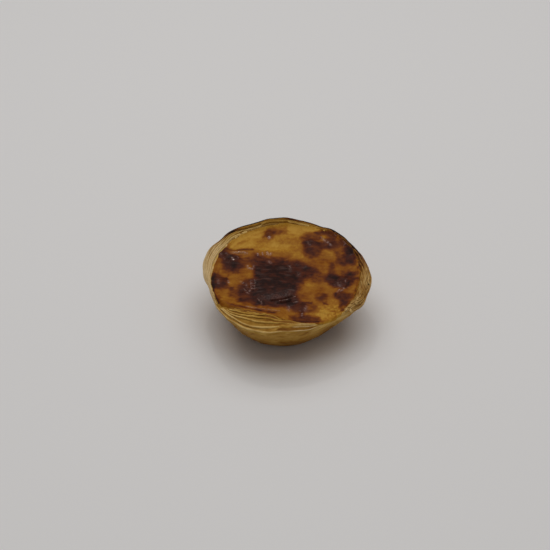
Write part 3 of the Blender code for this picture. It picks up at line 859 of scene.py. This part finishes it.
def makeCustard():
    size = custard
    mesh, across, up = gridMesh("custard", size["cells"], size["cells"])
    # the square grid is drawn out to a round one
    x = across * 2 - 1
    y = up * 2 - 1
    wide = np.abs(x) > np.abs(y)
    long = np.where(wide, x, y)
    short = np.where(wide, y, x)
    bend = math.pi / 4 * short / np.where(long == 0, 1, long)
    roundX = np.where(wide, long * np.cos(bend), long * np.sin(bend))
    roundY = np.where(wide, long * np.sin(bend), long * np.cos(bend))
    share = np.hypot(roundX, roundY)
    turn = np.arctan2(roundY, roundX)
    edgeR, edgeZ, width = rimLine(turn, 0 * turn)
    inner = np.minimum(share / size["creepFrom"], 1)
    x = edgeR * inner * np.cos(turn)
    y = edgeR * inner * np.sin(turn)
    # the outermost cells lie as a film on the inside of the rim
    climb = np.clip((share - size["creepFrom"]) / (1 - size["creepFrom"]), 0, 1)
    creep = creepAt(turn) * climb
    filmR, filmZ = overRim(turn, creep)
    aheadR, aheadZ = overRim(turn, creep + 0.03)
    runR, runZ = aheadR - filmR, aheadZ - filmZ
    stride = np.maximum(np.hypot(runR, runZ), 1e-6)
    spill = byAngle(turn, ((292, 0), (302, 1), (316, 1), (322, 0)))
    film = (size["film"] + size["spill"] * spill) * (1 - 1.5 * smoothStep(0.85, 1.0, climb))
    filmR = filmR - film * runZ / stride
    filmZ = filmZ + film * runR / stride
    x = np.where(climb > 0, filmR * np.cos(turn), x)
    y = np.where(climb > 0, filmR * np.sin(turn), y)
    scorch = scorchField(x, y, share, turn)
    bubbles, bubbleRimsAndGlints = bubbleRelief(x, y)
    skin = glintAndPaleSkinField(x, y)
    height = size["middle"] + (edgeZ - size["middle"]) * inner ** 2
    relief = custardRelief(x, y, scorch) * (1 - smoothStep(0.92, 1.0, inner))
    # the skin bends up where it meets the rim
    crestR = around(crestPoints, 0, turn)
    crestZ = around(crestPoints, 1, turn)
    steep = np.clip((crestZ - edgeZ) / np.maximum(crestR - edgeR, 0.5), 0.2, 1.6)
    below = np.where(climb > 0, filmZ - edgeZ, steep * edgeR * (1 - inner))
    bend = size["meniscus"] * np.log1p(np.exp(-np.maximum(below, 0) / size["meniscus"]))
    bend *= 1 - smoothStep(0.5, 1.0, climb)
    height += size["film"] * smoothStep(0.8, 1.0, inner)
    height = np.where(climb > 0, filmZ, height) + bend * (1 - spill)
    height += relief + bubbles * (1 - smoothStep(0.93, 0.99, share)) + 0.12 * skin
    place(mesh, np.stack([x, y, height], 1))
    paint(mesh, "scorch", scorch)
    flat = np.stack([x, y, 0 * x], 1)
    # painted sheen in streaks over the dark scorch, and the painted glints and pale rims of the bubbles, join
    # one attribute that also sets the gloss
    paintedSheenStreaks = np.clip(wobble(flat * (0.35, 1.3, 1.0), 1.6, 25) - 0.1, 0, 1) * smoothStep(0.75, 0.95, scorch)
    skin = np.maximum(skin, 0.16 * bubbleRimsAndGlints * smoothStep(0.3, 0.6, scorch))
    paint(mesh, "skin", np.maximum(skin, 0.22 * paintedSheenStreaks))
    # the sides and the bottom, out of sight inside the case
    bm = bmesh.new()
    bm.from_mesh(mesh)
    border = [edge for edge in bm.edges if edge.is_boundary]
    middle = Vector((axisPoint.x, axisPoint.y, 0))
    width, depth = 1.0, 0.0
    for newWidth, newDepth in size["sides"]:
        made = bmesh.ops.extrude_edge_only(bm, edges=border)["geom"]
        corners = [g for g in made if isinstance(g, bmesh.types.BMVert)]
        border = [g for g in made if isinstance(g, bmesh.types.BMEdge)]
        shrink = newWidth / width
        bmesh.ops.translate(bm, verts=corners, vec=-middle)
        bmesh.ops.scale(bm, verts=corners, vec=(shrink, shrink, 1.0))
        bmesh.ops.translate(bm, verts=corners, vec=middle + Vector((0, 0, (depth - newDepth) * mm)))
        width, depth = newWidth, newDepth
    bmesh.ops.holes_fill(bm, edges=border)
    bm.to_mesh(mesh)
    bm.free()
    return weldMeshes("custardFilling", [mesh])


# materials

def newMaterial(name):
    material = bpy.data.materials.new(name)
    material.use_nodes = True
    return material, material.node_tree.nodes["Principled BSDF"]


def addNode(material, kind, inputs=(), **settings):
    # inputs are plain values, or the sockets that feed them
    made = material.node_tree.nodes.new("ShaderNode" + kind)
    for key, value in settings.items():
        setattr(made, key, value)
    for key, value in dict(inputs).items():
        if isinstance(value, bpy.types.NodeSocket):
            material.node_tree.links.new(value, made.inputs[key])
        else:
            made.inputs[key].default_value = value
    return made


def addRamp(material, feed, stops):
    ramp = addNode(material, "ValToRGB", {"Fac": feed})
    band = ramp.color_ramp
    while len(band.elements) < len(stops):
        band.elements.new(0.5)
    for element, (spot, colour) in zip(band.elements, stops):
        element.position = spot
        element.color = (*colour, 1) if len(colour) == 3 else (colour[0],) * 3 + (1,)
    return ramp.outputs["Color"]


def connect(material, source, target):
    material.node_tree.links.new(source, target)


def addShift(material, feed, amount):
    # a noise value from 0 to 1 becomes a shift either way
    shift = addNode(material, "Math", {0: feed, 1: amount, 2: -amount / 2}, operation="MULTIPLY_ADD")
    return shift.outputs["Value"]


def addTogether(material, *feeds):
    total = feeds[0]
    for feed in feeds[1:]:
        total = addNode(material, "Math", {0: total, 1: feed}, operation="ADD").outputs["Value"]
    return total


custardLook = {
    "colours": (
        (0.00, (0.510, 0.268, 0.036)),
        (0.12, (0.415, 0.190, 0.018)),
        (0.22, (0.325, 0.126, 0.011)),
        (0.40, (0.232, 0.070, 0.0050)),
        (0.60, (0.140, 0.0345, 0.0060)),
        (0.80, (0.074, 0.0162, 0.0070)),
        (1.00, (0.021, 0.0070, 0.0048)),
    ),
    # colours of the painted glints and sheen, from a purple-brown sheen to a pale highlight
    "skin": (
        (0.00, (0.24, 0.125, 0.105)),
        (0.40, (0.46, 0.29, 0.24)),
        (0.80, (0.80, 0.68, 0.60)),
    ),
    # roughness and coat follow the same attribute as the painted glints, so real gloss sits under them
    "roughness": ((0.0, (0.46,)), (0.5, (0.25,))),     # by the skin
    "specular": 0.06,
    "wetness": ((0.05, (0.0,)), (0.6, (0.6,))),     # by the skin
    "wetRoughness": 0.12,
}


def custardMaterial():
    material, shader = newMaterial("custardSkin")
    spot = addNode(material, "TexCoord").outputs["Object"]
    scorch = addNode(material, "Attribute", attribute_name="scorch").outputs["Fac"]
    skin = addNode(material, "Attribute", attribute_name="skin").outputs["Fac"]
    cloud = addNode(material, "TexNoise", {"Vector": spot, "Scale": 260, "Detail": 4, "Roughness": 0.6})
    grain = addNode(material, "TexNoise", {"Vector": spot, "Scale": 900, "Detail": 3, "Roughness": 0.6})
    mixed = addTogether(
        material,
        scorch,
        addShift(material, cloud.outputs["Fac"], 0.26),
        addShift(material, grain.outputs["Fac"], 0.18),
    )
    # the colour is blended towards the painted glints and sheen
    blend = addNode(material, "Mix", {"Factor": skin}, data_type="RGBA")
    connect(material, addRamp(material, skin, custardLook["skin"]), blend.inputs["B"])
    connect(material, addRamp(material, mixed, custardLook["colours"]), blend.inputs["A"])
    connect(material, blend.outputs["Result"], shader.inputs["Base Color"])
    connect(material, addRamp(material, skin, custardLook["roughness"]), shader.inputs["Roughness"])
    connect(material, addRamp(material, skin, custardLook["wetness"]), shader.inputs["Coat Weight"])
    shader.inputs["Coat Roughness"].default_value = custardLook["wetRoughness"]
    shader.inputs["Specular IOR Level"].default_value = custardLook["specular"]
    bump = addNode(material, "Bump", {"Height": grain.outputs["Fac"], "Strength": 0.2, "Distance": 0.0003})
    connect(material, bump.outputs["Normal"], shader.inputs["Normal"])
    return material


pastryLook = {
    # from unbaked to burnt, for dry crust and for crust soaked with butter and custard
    "dry": (
        (0.00, (0.680, 0.490, 0.250)),
        (0.22, (0.490, 0.318, 0.128)),
        (0.45, (0.330, 0.175, 0.052)),
        (0.65, (0.190, 0.078, 0.020)),
        (0.85, (0.070, 0.028, 0.012)),
        (1.00, (0.024, 0.012, 0.008)),
    ),
    "soaked": (
        (0.00, (0.660, 0.420, 0.110)),
        (0.22, (0.455, 0.245, 0.042)),
        (0.45, (0.300, 0.133, 0.015)),
        (0.65, (0.170, 0.056, 0.011)),
        (0.85, (0.070, 0.024, 0.009)),
        (1.00, (0.024, 0.011, 0.007)),
    ),
}


def pastryMaterial():
    material, shader = newMaterial("bakedPastry")
    spot = addNode(material, "Attribute", attribute_name="grain").outputs["Vector"]
    bake = addNode(material, "Attribute", attribute_name="bake").outputs["Fac"]
    stain = addNode(material, "Attribute", attribute_name="stain").outputs["Fac"]
    stretch = addNode(material, "Mapping", {"Vector": spot, "Scale": (0.20, 0.20, 1.9)})
    layers = addNode(material, "TexNoise", {
        "Vector": stretch.outputs["Vector"], "Scale": 1.0, "Detail": 5, "Roughness": 0.62})
    patches = addNode(material, "TexNoise", {
        "Vector": spot, "Scale": 0.24, "Detail": 4, "Roughness": 0.6})
    mixed = addTogether(
        material,
        bake,
        addShift(material, layers.outputs["Fac"], 0.34),
        addShift(material, patches.outputs["Fac"], 0.42),
    )
    blend = addNode(material, "Mix", {"Factor": stain}, data_type="RGBA")
    connect(material, addRamp(material, mixed, pastryLook["dry"]), blend.inputs["A"])
    connect(material, addRamp(material, mixed, pastryLook["soaked"]), blend.inputs["B"])
    connect(material, blend.outputs["Result"], shader.inputs["Base Color"])
    rough = addRamp(material, layers.outputs["Fac"], ((0.3, (0.45,)), (0.7, (0.62,))))
    connect(material, rough, shader.inputs["Roughness"])
    bump = addNode(material, "Bump", {
        "Height": layers.outputs["Fac"], "Strength": 0.35, "Distance": 0.0003})
    connect(material, bump.outputs["Normal"], shader.inputs["Normal"])
    shader.inputs["Specular IOR Level"].default_value = 0.06
    return material


def plainMaterial(name, colour, rough):
    material, shader = newMaterial(name)
    shader.inputs["Base Color"].default_value = (*colour, 1)
    shader.inputs["Roughness"].default_value = rough
    return material


pastryFinish = pastryMaterial()
custardFinish = custardMaterial()
case = makePastryCase()
leaves = makeRimLeaves()
flakes = makeLooseFlakes()
filling = makeCustard()
for piece in (case, leaves, flakes):
    piece.data.materials.append(pastryFinish)
    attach(piece, "root")
filling.data.materials.append(custardFinish)
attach(filling, "root")
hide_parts("pastry_case")
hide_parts("custard")


# the floor, the light and the camera

def makeFloor():
    bm = bmesh.new()
    bmesh.ops.create_grid(bm, x_segments=1, y_segments=1, size=1.6)
    mesh = bpy.data.meshes.new("floor")
    bm.to_mesh(mesh)
    bm.free()
    floor = bpy.data.objects.new("floor", mesh)
    bpy.context.scene.collection.objects.link(floor)
    floor.data.materials.append(plainMaterial("paleFloor", (0.80, 0.785, 0.775), 0.6))


def areaLight(name, spot, aim, size, power):
    data = bpy.data.lights.new(name, "AREA")
    data.size = size
    data.energy = power
    light = bpy.data.objects.new(name, data)
    light.location = spot
    light.rotation_euler = (Vector(aim) - Vector(spot)).to_track_quat("-Z", "Y").to_euler()
    bpy.context.scene.collection.objects.link(light)


cameraSetup = {
    "distance": 0.5,
    "elevation": 38.5,
    "lens": 73.3,
    "aim": (-3.6, 0.0, 24.2),      # mm from the foot's axis
}


def makeCamera():
    setup = cameraSetup
    lift = math.radians(setup["elevation"])
    aim = axisPoint + Vector(setup["aim"]) * mm
    data = bpy.data.cameras.new("camera")
    data.lens = setup["lens"]
    data.clip_start = 0.01
    camera = bpy.data.objects.new("camera", data)
    camera.location = aim + Vector((0, -math.cos(lift), math.sin(lift))) * setup["distance"]
    camera.rotation_euler = (math.radians(90) - lift, 0, 0)
    bpy.context.scene.collection.objects.link(camera)
    bpy.context.scene.camera = camera


makeFloor()
world = bpy.data.worlds.new("studio")
world.use_nodes = True
world.node_tree.nodes["Background"].inputs["Color"].default_value = (1.0, 0.98, 0.965, 1)
world.node_tree.nodes["Background"].inputs["Strength"].default_value = 0.21
bpy.context.scene.world = world
areaLight("ceilingLight", (0.0, 0.3, 1.15), (0.0, 0.0, 0.0), 1.5, 9.6)
areaLight("smallLamp", (-0.1, 0.55, 1.0), (0.0, 0.0, 0.0), 0.05, 0.4)
makeCamera()
bpy.context.scene.view_settings.view_transform = "Standard"
print("stage set")
